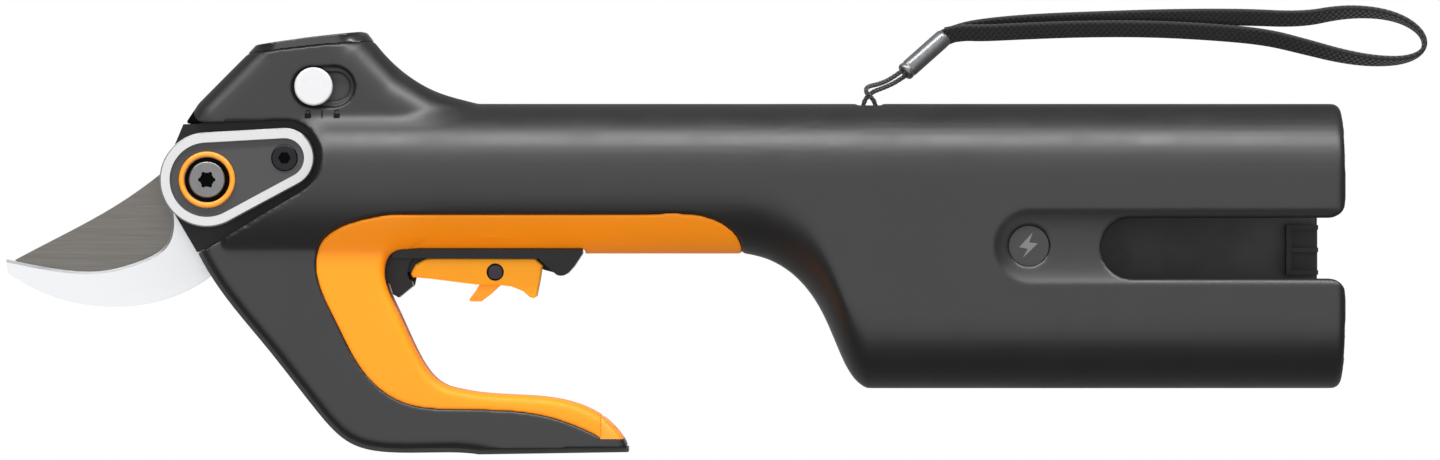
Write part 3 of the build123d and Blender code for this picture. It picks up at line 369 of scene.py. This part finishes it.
# Painted shade: on the screw material, a band from 12.0 to 13.3 mm above the parting plane is
# nearly black. This is the floor of the plate screw's socket. Other screws that reach into that
# band also darken there.
repainted("screw", PAINTED_SHADE_BLACK, [("z", "<", MID + 0.0133), ("z", ">", MID + 0.0120)])
# Painted shade: the housing is nearly black and has its shine taken away wherever it is nearer than
# 21 mm to the handle's axis and lower than 15 mm above the parting plane. This darkens the inside
# of the handle and the battery bay.
repainted("housing", PAINTED_SHADE_BLACK, [("radius", "<", TUBE_R - 0.0015), ("z", "<", MID + 0.0150)],
          shaded_without_shine=True)
repainted("housing", ORANGE, [("x", ">", -0.0217), ("y", ">", -0.0585), ("y", "<", -0.0480)])

for material, nodes in NODE_MATERIALS.items():
    for node in nodes:
        paint(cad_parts[node], material)


# ------------------------------------------------------------------ strap
CORD_D, WEB_WIDTH, WEB_THICK = 0.00145, 0.0060, 0.0015
CORD_ROUTE = [(68.9, 51.9, 9.0), (65.6, 49.4, 11.2), (61.8, 47.7, 15.5), (58.0, 46.9, 20.4),
              (57.6, 45.0, 23.6), (60.4, 42.6, 24.0), (60.85, 38.6, 23.2),
              (60.85, 34.3, 22.6), (56.75, 34.3, 22.0), (56.75, 38.4, 21.4),
              (57.0, 42.4, 21.0), (59.4, 45.2, 18.6), (63.4, 46.7, 14.0), (66.9, 48.3, 10.6),
              (70.1, 50.5, 9.0)]
WEB_ROUTE = [(81.7, 62.0, 2.45), (86.5, 64.0, 2.5), (94.0, 65.4, 2.6), (108.0, 66.7, 2.8),
             (128.0, 67.5, 3.0), (150.0, 68.2, 3.0), (172.0, 68.3, 3.0), (190.0, 67.5, 3.0),
             (202.0, 69.9, 3.0), (213.0, 69.7, 3.0), (221.5, 67.3, 3.0), (227.0, 62.9, 3.0),
             (227.3, 58.0, 3.0), (221.5, 55.1, 3.0), (212.0, 54.9, 3.0), (202.0, 56.4, 3.0),
             (191.0, 59.3, 3.1), (179.0, 62.3, 3.2), (162.0, 63.8, 3.6), (143.0, 64.7, 4.4),
             (123.0, 64.6, 5.2), (105.0, 63.9, 5.9), (93.0, 63.3, 6.2), (87.0, 63.6, 6.1),
             (82.3, 62.6, 5.55)]
SLEEVE_LOW, SLEEVE_HIGH = Vector((69.5, 51.2, 9.0)) * MM, Vector((82.0, 62.3, 4.0)) * MM
SLEEVE_R = 2.75 * MM
WEB_RINGS, CORD_RINGS = 620, 260
WEB_LEAN = (33.0, 147.0)           # the tape's lean at its two ends, in degrees
WEB_TURN = (0.30, 0.70)            # shares of its length between which it turns over


def woven_material(name, color, across, along, strength):
    """Woven tape or braid, from the piece's own UV map: u across, v along."""
    mat, tree, shader = new_material(name, color, 0.85, specular=0.25)
    shader.inputs["Sheen Weight"].default_value = 0.25
    shader.inputs["Sheen Roughness"].default_value = 0.5
    uv = tree.nodes.new("ShaderNodeTexCoord").outputs["UV"]
    split = tree.nodes.new("ShaderNodeSeparateXYZ")
    tree.links.new(uv, split.inputs[0])
    waves = []
    for output, count, shift in ((split.outputs[0], across, 0.0), (split.outputs[1], along, 0.5)):
        times = tree.nodes.new("ShaderNodeMath")
        times.operation = "MULTIPLY_ADD"
        times.inputs[1].default_value = count * math.pi
        times.inputs[2].default_value = shift * math.pi
        tree.links.new(output, times.inputs[0])
        sine = tree.nodes.new("ShaderNodeMath")
        sine.operation = "SINE"
        tree.links.new(times.outputs[0], sine.inputs[0])
        waves.append(sine.outputs[0])
    weave = tree.nodes.new("ShaderNodeMath")
    weave.operation = "MULTIPLY"
    tree.links.new(waves[0], weave.inputs[0])
    tree.links.new(waves[1], weave.inputs[1])
    tree.links.new(tinted(tree, ranged(tree, weave.outputs[0], 0.0, 1.0, -1.0, 1.0),
                          scaled_color(color, 0.45), scaled_color(color, 1.7)),
                   shader.inputs["Base Color"])
    bumped(tree, shader, weave.outputs[0], strength, 0.0003)
    return mat


materials["web"] = woven_material("strap_weave", (0.016, 0.016, 0.018), 10.0, 330.0, 0.9)
materials["cord"] = woven_material("cord_braid", (0.017, 0.017, 0.019), 8.0, 90.0, 0.8)


def ring_tube(name, points, outline, side_at):
    """Closed tube whose section outline(k) lies across each point, with a UV map."""
    rings, verts = len(points), []
    sides = len(outline(0))
    for k, point in enumerate(points):
        ahead = (points[min(k + 1, rings - 1)] - points[max(k - 1, 0)]).normalized()
        across, up = side_at(k, ahead)
        verts += [point + across * u + up * v for u, v in outline(k)]
    piece = mesh_piece(name, verts, tube_faces(rings, sides))
    uv = piece.data.uv_layers.new(name="UVMap")
    for face in piece.data.polygons:
        wrap = face.index < (rings - 1) * sides and face.index % sides == sides - 1
        for loop in face.loop_indices:
            v = piece.data.loops[loop].vertex_index
            s = v % sides
            if wrap and s == 0:
                s = sides
            uv.data[loop].uv = (s / sides, (v // sides) / (rings - 1))
    return piece


def webbing_outline(k):
    """Flat section with soft edges and slightly raised selvedges."""
    half, thick = WEB_WIDTH / 2, WEB_THICK / 2
    points = []
    steps = 14
    for i in range(steps + 1):
        u = -1.0 + 2.0 * i / steps
        selvedge = 1 + 0.18 * math.exp(-((abs(u) - 0.85) / 0.08) ** 2)
        points.append((u * half, thick * (1 - abs(u) ** 6) ** 0.5 * selvedge))
    bottom = [(u, -v) for u, v in reversed(points[1:-1])]
    return points + bottom


web_line = smooth_curve("web_line", millimetres(WEB_ROUTE))
web_points, web_length = resampled(points_along(web_line), WEB_RINGS)
bpy.data.objects.remove(web_line)


def web_side(k, ahead):
    """The tape's width direction turns half round along the loop."""
    share = (k / (WEB_RINGS - 1) - WEB_TURN[0]) / (WEB_TURN[1] - WEB_TURN[0])
    share = min(max(share, 0.0), 1.0)
    turned = share * share * (3 - 2 * share)
    turn = math.radians(WEB_LEAN[0] + (WEB_LEAN[1] - WEB_LEAN[0]) * turned)
    side = Vector((-ahead.y, ahead.x, 0.0)).normalized()
    up = ahead.cross(side) * -1.0
    if up.z < 0:
        up = -up
    across = side * math.cos(turn) + up * math.sin(turn)
    return across, ahead.cross(across)


webbing = ring_tube("strap_webbing_woven", web_points, webbing_outline, web_side)
paint(webbing, "web")

cord_line = smooth_curve("cord_line", millimetres(CORD_ROUTE))
cord_points, cord_length = resampled(points_along(cord_line), CORD_RINGS)
bpy.data.objects.remove(cord_line)


def cord_outline(k):
    """Round section of braided cord, its strands standing slightly proud."""
    points = []
    for i in range(16):
        a = 2 * math.pi * i / 16
        r = CORD_D / 2 * (0.94 + 0.06 * math.sin(a * 4 + k * 0.9))
        points.append((r * math.cos(a), r * math.sin(a)))
    return points


def cord_side(k, ahead):
    """Any steady pair of directions across the cord."""
    across = ahead.cross(Vector((0.3, -0.2, 0.93))).normalized()
    return across, ahead.cross(across)


lead_cord = ring_tube("strap_lead_cord_braided", cord_points, cord_outline, cord_side)
paint(lead_cord, "cord")


def sleeve_mesh():
    """Turned sleeve with a ring at its lower end, a rolled upper rim and a sunk upper end."""
    axis = SLEEVE_HIGH - SLEEVE_LOW
    length = axis.length
    ahead = axis.normalized()
    across = ahead.cross(Vector((0, 0, 1))).normalized()
    up = ahead.cross(across)
    profile = [(0.000, 0.30), (0.000, 0.80), (0.010, 0.92), (0.030, 0.985), (0.055, 1.0),
               (0.085, 0.985), (0.100, 0.93), (0.115, 0.93), (0.130, 0.985), (0.16, 1.0),
               (0.50, 1.0), (0.84, 1.0), (0.90, 0.995), (0.955, 0.985), (0.985, 0.94),
               (1.0, 0.86), (1.0, 0.60), (0.97, 0.56), (0.90, 0.54)]
    sides, verts = 48, []
    for t, r in profile:
        for i in range(sides):
            a = 2 * math.pi * i / sides
            verts.append(SLEEVE_LOW + ahead * (t * length)
                         + (across * math.cos(a) + up * math.sin(a)) * (r * SLEEVE_R))
    return mesh_piece("strap_sleeve_turned", verts, tube_faces(len(profile), sides))


sleeve = sleeve_mesh()
paint(sleeve, "sleeve")

for piece, node, slot in ((webbing, "strap_webbing", "strap_fabric"),
                          (lead_cord, "strap_lead_cord", "cord_fabric"),
                          (sleeve, "strap_sleeve", "sleeve_grey")):
    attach(piece, "housing")
    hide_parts(node)


# ------------------------------------------------------------------ housing, grips and cap
# The moulded parts are remeshed copies of their CAD solids. Their heights above and below the
# parting plane are then redrawn, so that head, arm and handle flow into each other.
TUBE_FRONT, SLAB_HALF = -0.134, 0.014    # the handle's front end, half the head's thickness
HEAD_BLEND, ARM_BLEND = 0.0035, 0.010    # how softly the handle meets head and arm
NOSE_X, NOSE_Y = (-0.118, -0.102), (0.020, 0.034)    # where the handle dies into the head
BLEND_ENDS = (-0.075, -0.045)      # where the blend with the handle runs out
HEAD_FRONT = [(-146.5, 35.2), (-142.1, 41.8), (-127.6, 56.4), (-125.1, 59.1)]
HEAD_BACK = [(-93.3, 63.2), (-91.8, 62.9), (-89.8, 60.3), (-81.3, 51.4), (-71.4, 45.4),
             (-60.0, 42.0), (-48.0, 38.6)]
ARM_END = [(-60.0, 8.2), (-79.0, -2.0)]
SKIN = 0.004                       # depth below the skin down to which heights follow it
FALL = 4.0                         # steepness of the fall beyond a rounded edge
ROUNDED_OUTLINES = [(HEAD_FRONT, 0.0090), (HEAD_BACK, 0.0120), (ARM_END, 0.0100)]


def distance_inside(xy, outline):
    """Distance of each point from an outline given in millimetres, negative on its left."""
    line = np.array(outline) * MM
    best = np.full(len(xy), np.inf)
    signed = np.zeros(len(xy))
    for start, end in zip(line, line[1:]):
        run = end - start
        offset = xy - start
        share = offset @ run / (run @ run)
        along = np.clip(share, 0.0, 1.0)
        gap = np.linalg.norm(offset - along[:, None] * run, axis=1)
        left = (run[0] * offset[:, 1] > run[1] * offset[:, 0]) & (share == along)
        nearer = gap < best
        best = np.where(nearer, gap, best)
        signed = np.where(nearer, np.where(left, -gap, gap), signed)
    return signed


def rounded_slab(distance, radius):
    """Half thickness of the slab at a distance inside a rounded edge, falling away outside it."""
    inside = np.clip(distance, 0.0, radius)
    return (SLAB_HALF - radius + np.sqrt(radius ** 2 - (radius - inside) ** 2)
            + FALL * np.minimum(distance, 0.0))


def eased(values, start, end):
    """Smooth rise from 0 at start to 1 at end."""
    share = np.clip((values - start) / (end - start), 0.0, 1.0)
    return share ** 2 * (3 - 2 * share)


def redrawn_heights(points):
    """The points with head, arm and handle blended and the head's edges rounded."""
    xy, height = points[:, :2], points[:, 2] - MID
    above = np.abs(height)
    tube = np.sqrt(np.maximum(TUBE_R ** 2 - (xy[:, 1] - TUBE_Y) ** 2, 0.0))
    tube = np.where(xy[:, 0] > TUBE_FRONT, tube, 0.0)
    slab_old = np.full(len(xy), SLAB_HALF)
    slab_new = np.full(len(xy), SLAB_HALF)
    for outline, radius in ROUNDED_OUTLINES:
        distance = distance_inside(xy, outline)
        near = np.abs(distance) < radius
        distance = np.where(tube > 0.0, distance, np.maximum(distance, 0.0))
        slab_new = np.where(near, np.minimum(slab_new, rounded_slab(distance, radius)), slab_new)
        slab_old = np.where(near & (distance < 0.0), 0.0, slab_old)
    old = np.maximum(np.maximum(tube, slab_old), above)
    nose = (1 - eased(xy[:, 0], *NOSE_X)) * eased(xy[:, 1], *NOSE_Y)
    excess = np.maximum(tube - slab_new, 0.0)
    tube_new = tube - excess * nose
    softness = np.where(xy[:, 1] > TUBE_Y, HEAD_BLEND, ARM_BLEND)
    blend = softness * (1 - eased(xy[:, 0], *BLEND_ENDS)) * (1 - nose) + 1e-6
    closeness = np.maximum(blend - np.abs(tube_new - slab_new), 0.0)
    new = np.maximum(tube_new, slab_new) + np.where(tube > 0, closeness ** 2 / (4 * blend), 0.0)
    change = np.where(xy[:, 0] < BLEND_ENDS[1], new - old, 0.0)
    skin = np.clip((above - old + SKIN) / SKIN, 0.0, 1.0)
    base = np.minimum(tube, tube_new - SKIN * nose)
    standing = np.clip((above - base) / np.maximum(old - base, 0.0002), 0.0, 1.0)
    moved = above + np.where(change > 0, skin, standing) * change
    result = points.copy()
    result[:, 2] = MID + np.copysign(np.maximum(moved, 0.0), height)
    return result


def relaxed(points, edges, strength, rounds):
    """The points drawn towards their neighbours, each by its own strength."""
    a, b = edges[:, 0], edges[:, 1]
    count = np.bincount(np.concatenate((a, b)), minlength=len(points))[:, None]
    for _ in range(rounds):
        total = np.zeros_like(points)
        for axis in range(3):
            total[:, axis] = (np.bincount(a, points[b, axis], len(points))
                              + np.bincount(b, points[a, axis], len(points)))
        points = points + (total / np.maximum(count, 1) - points) * strength[:, None]
    return points


# What smoothing leaves alone: ranges of x, y and height from the parting plane.
TIGHT = [((-0.088, -0.025), (-0.018, -0.0005), (-0.001, 0.0108)),    # round the trigger's frame
         ((-0.0228, -0.0206), (-0.0600, -0.0470), (-0.001, 0.0300)),   # seam at the guard's tip
         ((-0.1171, -0.0911), (0.0391, 0.0541), (0.0080, 0.0134))]    # the lock's slot
SMOOTHING, TIGHT_SMOOTHING = 0.5, 0.05


def kept_tight(points):
    """True at the edges that smoothing has to leave alone."""
    placed = np.column_stack((points[:, :2], np.abs(points[:, 2] - MID)))
    inside = np.zeros(len(points), dtype=bool)
    for ranges in TIGHT:
        low, high = np.array(ranges).T
        inside |= ((placed > low) & (placed < high)).all(axis=1)
    return inside


def moulded(node, name, material, voxel, keep, rounds):
    """Soft-edged copy of a moulded CAD part, standing for it."""
    shape = bmesh.new()
    shape.from_mesh(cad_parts[node].data)
    bmesh.ops.remove_doubles(shape, verts=shape.verts, dist=1e-6)
    mesh = bpy.data.meshes.new(name)
    shape.to_mesh(mesh)
    shape.free()
    piece = bpy.data.objects.new(name, mesh)
    bpy.context.scene.collection.objects.link(piece)
    remesh = piece.modifiers.new("remesh", "REMESH")
    remesh.mode = "VOXEL"
    remesh.voxel_size = voxel
    piece.data = evaluated_mesh(piece)
    piece.modifiers.clear()
    mesh = piece.data
    points = np.empty(len(mesh.vertices) * 3)
    mesh.vertices.foreach_get("co", points)
    points = points.reshape(-1, 3)
    edges = np.empty(len(mesh.edges) * 2, dtype=np.int64)
    mesh.edges.foreach_get("vertices", edges)
    strength = np.where(kept_tight(points), TIGHT_SMOOTHING, SMOOTHING)
    points = relaxed(redrawn_heights(points), edges.reshape(-1, 2), strength, rounds)
    mesh.vertices.foreach_set("co", points.reshape(-1))
    mesh.update()
    lighter = piece.modifiers.new("lighter", "DECIMATE")
    lighter.ratio = keep
    piece.data = evaluated_mesh(piece)
    piece.modifiers.clear()
    piece.data.name = name
    piece.data.shade_smooth()
    piece.data.materials.clear()
    paint(piece, material)
    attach(piece, "housing")
    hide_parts(node)
    return piece


def evaluated_mesh(piece):
    """New mesh with the piece's modifiers applied."""
    depsgraph = bpy.context.evaluated_depsgraph_get()
    return bpy.data.meshes.new_from_object(piece.evaluated_get(depsgraph))


MOULDED = [                        # node, new piece, material, slot, voxel, faces kept, rounds
    ("left_housing_shell", "left_housing_moulded", "housing", "housing_black", 0.0005, 0.2, 7),
    ("right_housing_shell", "right_housing_moulded", "housing", "housing_black", 0.0006, 0.2, 7),
    ("left_grip_overmould", "left_grip_moulded", "grip", "grip_orange", 0.0004, 0.3, 14),
    ("right_grip_overmould", "right_grip_moulded", "grip", "grip_orange", 0.0005, 0.3, 10),
    ("head_top_cap", "head_cap_moulded", "cap", "cap_black", 0.0003, 1.0, 5)]
for node, name, material, slot, voxel, keep, rounds in MOULDED:
    moulded(node, name, material, voxel, keep, rounds)


def domed_pin(name, centre, body, head):
    """Round pin along Z with a shallow dome on each end: radius and half length of each part."""
    profile = []
    for i in range(1, 9):
        angle = math.pi / 2 * i / 8
        profile.append((head[0] * math.sin(angle), body[1] + (head[1] - body[1]) * math.cos(angle)))
    profile.append((body[0], body[1]))
    profile = [(r, -z) for r, z in profile] + [(r, z) for r, z in reversed(profile)]
    sides, verts = 40, []
    for r, z in profile:
        for i in range(sides):
            a = 2 * math.pi * i / sides
            verts.append((centre[0] + r * math.cos(a), centre[1] + r * math.sin(a), MID + z))
    return mesh_piece(name, verts, tube_faces(len(profile), sides))


lever_pin = domed_pin("lever_pin_domed", (-0.0533, -0.0088), (0.0015, 0.0065), (0.0026, 0.0072))
paint(lever_pin, "pin")
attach(lever_pin, "trigger")
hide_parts("safety_lever_pin")


# ------------------------------------------------------------------ marks
RAY_FROM = 0.06                    # a height above everything


def raised_mark(name, outlines, material, surface, proud=0.00008):
    """Flat shapes given by outlines in millimetres, standing a little proud of a surface."""
    tree = BVHTree.FromObject(surface, bpy.context.evaluated_depsgraph_get())
    mark = bmesh.new()
    for outline in outlines:
        top = []
        for x, y in outline:
            hit = tree.ray_cast(Vector((x * MM, y * MM, RAY_FROM)), Vector((0.0, 0.0, -1.0)))[0]
            top.append(mark.verts.new((hit.x, hit.y, hit.z + proud)))
        face = mark.faces.new(top)
        bottom = bmesh.ops.extrude_face_region(mark, geom=[face])["geom"]
        moved = [v for v in bottom if isinstance(v, bmesh.types.BMVert)]
        bmesh.ops.translate(mark, verts=moved, vec=(0.0, 0.0, -2.5 * proud))
    bmesh.ops.triangulate(mark, faces=mark.faces)
    bmesh.ops.recalc_face_normals(mark, faces=mark.faces)
    mesh = bpy.data.meshes.new(name)
    mark.to_mesh(mesh)
    mark.free()
    piece = bpy.data.objects.new(name, mesh)
    bpy.context.scene.collection.objects.link(piece)
    paint(piece, material)
    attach(piece, "housing")


def rectangle(x, y, width, height):
    """Corners of an upright rectangle about a centre."""
    return [(x - width / 2, y - height / 2), (x + width / 2, y - height / 2),
            (x + width / 2, y + height / 2), (x - width / 2, y + height / 2)]


def shackle(x, y, radius, width, leg):
    """Outline of a padlock's shackle: half a ring, its right leg longer or shorter."""
    steps = [math.pi * i / 8 for i in range(9)]
    outer = [(x + radius * math.cos(a), y + radius * math.sin(a)) for a in steps]
    inner = [(x + (radius - width) * math.cos(a), y + (radius - width) * math.sin(a))
             for a in reversed(steps)]
    right = [(x + radius - width, y - leg), (x + radius, y - leg)]
    left = [(x - radius, y - 0.5), (x - radius + width, y - 0.5)]
    return outer + left + inner + right


MARK_Y = 38.3                      # the lock's marks, below its recess
LOCKED = [rectangle(-108.9, MARK_Y - 0.45, 1.9, 1.4),
          shackle(-108.9, MARK_Y + 0.7, 0.65, 0.28, 0.5)]
UNLOCKED = [rectangle(-100.3, MARK_Y - 0.45, 1.9, 1.4),
            shackle(-100.3, MARK_Y + 0.85, 0.65, 0.28, 0.1)]
MIDDLE = [rectangle(-104.7, MARK_Y, 0.4, 2.3)]
BOLT = [(106.95, 3.1), (102.9, -1.3), (105.5, -1.8), (103.95, -4.5), (108.4, -0.2), (105.85, 0.1)]
raised_mark("lock_marks", LOCKED + MIDDLE + UNLOCKED, "mark_dark",
            bpy.data.objects["left_housing_moulded"])
raised_mark("charge_mark", [BOLT], "mark_grey",
            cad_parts["charge_indicator_lens"])


# ------------------------------------------------------------------ stage
def area_light(name, place, aim, size, watts):
    """Soft rectangular light pointed at a place."""
    data = bpy.data.lights.new(name, "AREA")
    data.shape = "RECTANGLE"
    data.size, data.size_y = size
    data.energy = watts
    light = bpy.data.objects.new(name, data)
    light.location = place
    light.rotation_euler = (Vector(aim) - Vector(place)).to_track_quat("-Z", "Y").to_euler()
    bpy.context.scene.collection.objects.link(light)
    return light


OVERHEAD = 5.0                     # width of the softbox above the camera
area_light("overhead", (0.0, 0.0, 3.0), (0.0, 0.0, 0.0), (OVERHEAD, OVERHEAD), 108.0)
area_light("strip", (0.0, 1.10, 0.58), (0.0, 0.0, 0.0), (2.4, 0.24), 40.0)
fill = area_light("fill", (0.0, -1.10, 0.70), (0.0, 0.0, 0.0), (2.4, 0.60), 9.0)
fill.visible_glossy = False        # only lifts the colours, leaves the dark plastic's shading

# The studio is white straight below the object and grey all round it.
STUDIO = [(0.0, 1.0), (0.0075, 1.0), (0.03, 0.34), (0.5, 0.13), (1.0, 0.12)]
world = bpy.data.worlds.new("studio")
world.use_nodes = True
sky = world.node_tree
direction = sky.nodes.new("ShaderNodeTexCoord")
parts = sky.nodes.new("ShaderNodeSeparateXYZ")
height_share = sky.nodes.new("ShaderNodeMapRange")
height_share.inputs["From Min"].default_value = -1.0
height_share.inputs["From Max"].default_value = 1.0
ramp = sky.nodes.new("ShaderNodeValToRGB")
while len(ramp.color_ramp.elements) < len(STUDIO):
    ramp.color_ramp.elements.new(0.5)
for element, (place, level) in zip(ramp.color_ramp.elements, STUDIO):
    element.position = place
    element.color = (level, level, level, 1.0)
sky.links.new(direction.outputs["Generated"], parts.inputs[0])
sky.links.new(parts.outputs[2], height_share.inputs["Value"])
sky.links.new(height_share.outputs["Result"], ramp.inputs["Fac"])
sky.links.new(ramp.outputs["Color"], sky.nodes["Background"].inputs["Color"])
bpy.context.scene.world = world
bpy.context.scene.view_settings.view_transform = "Standard"
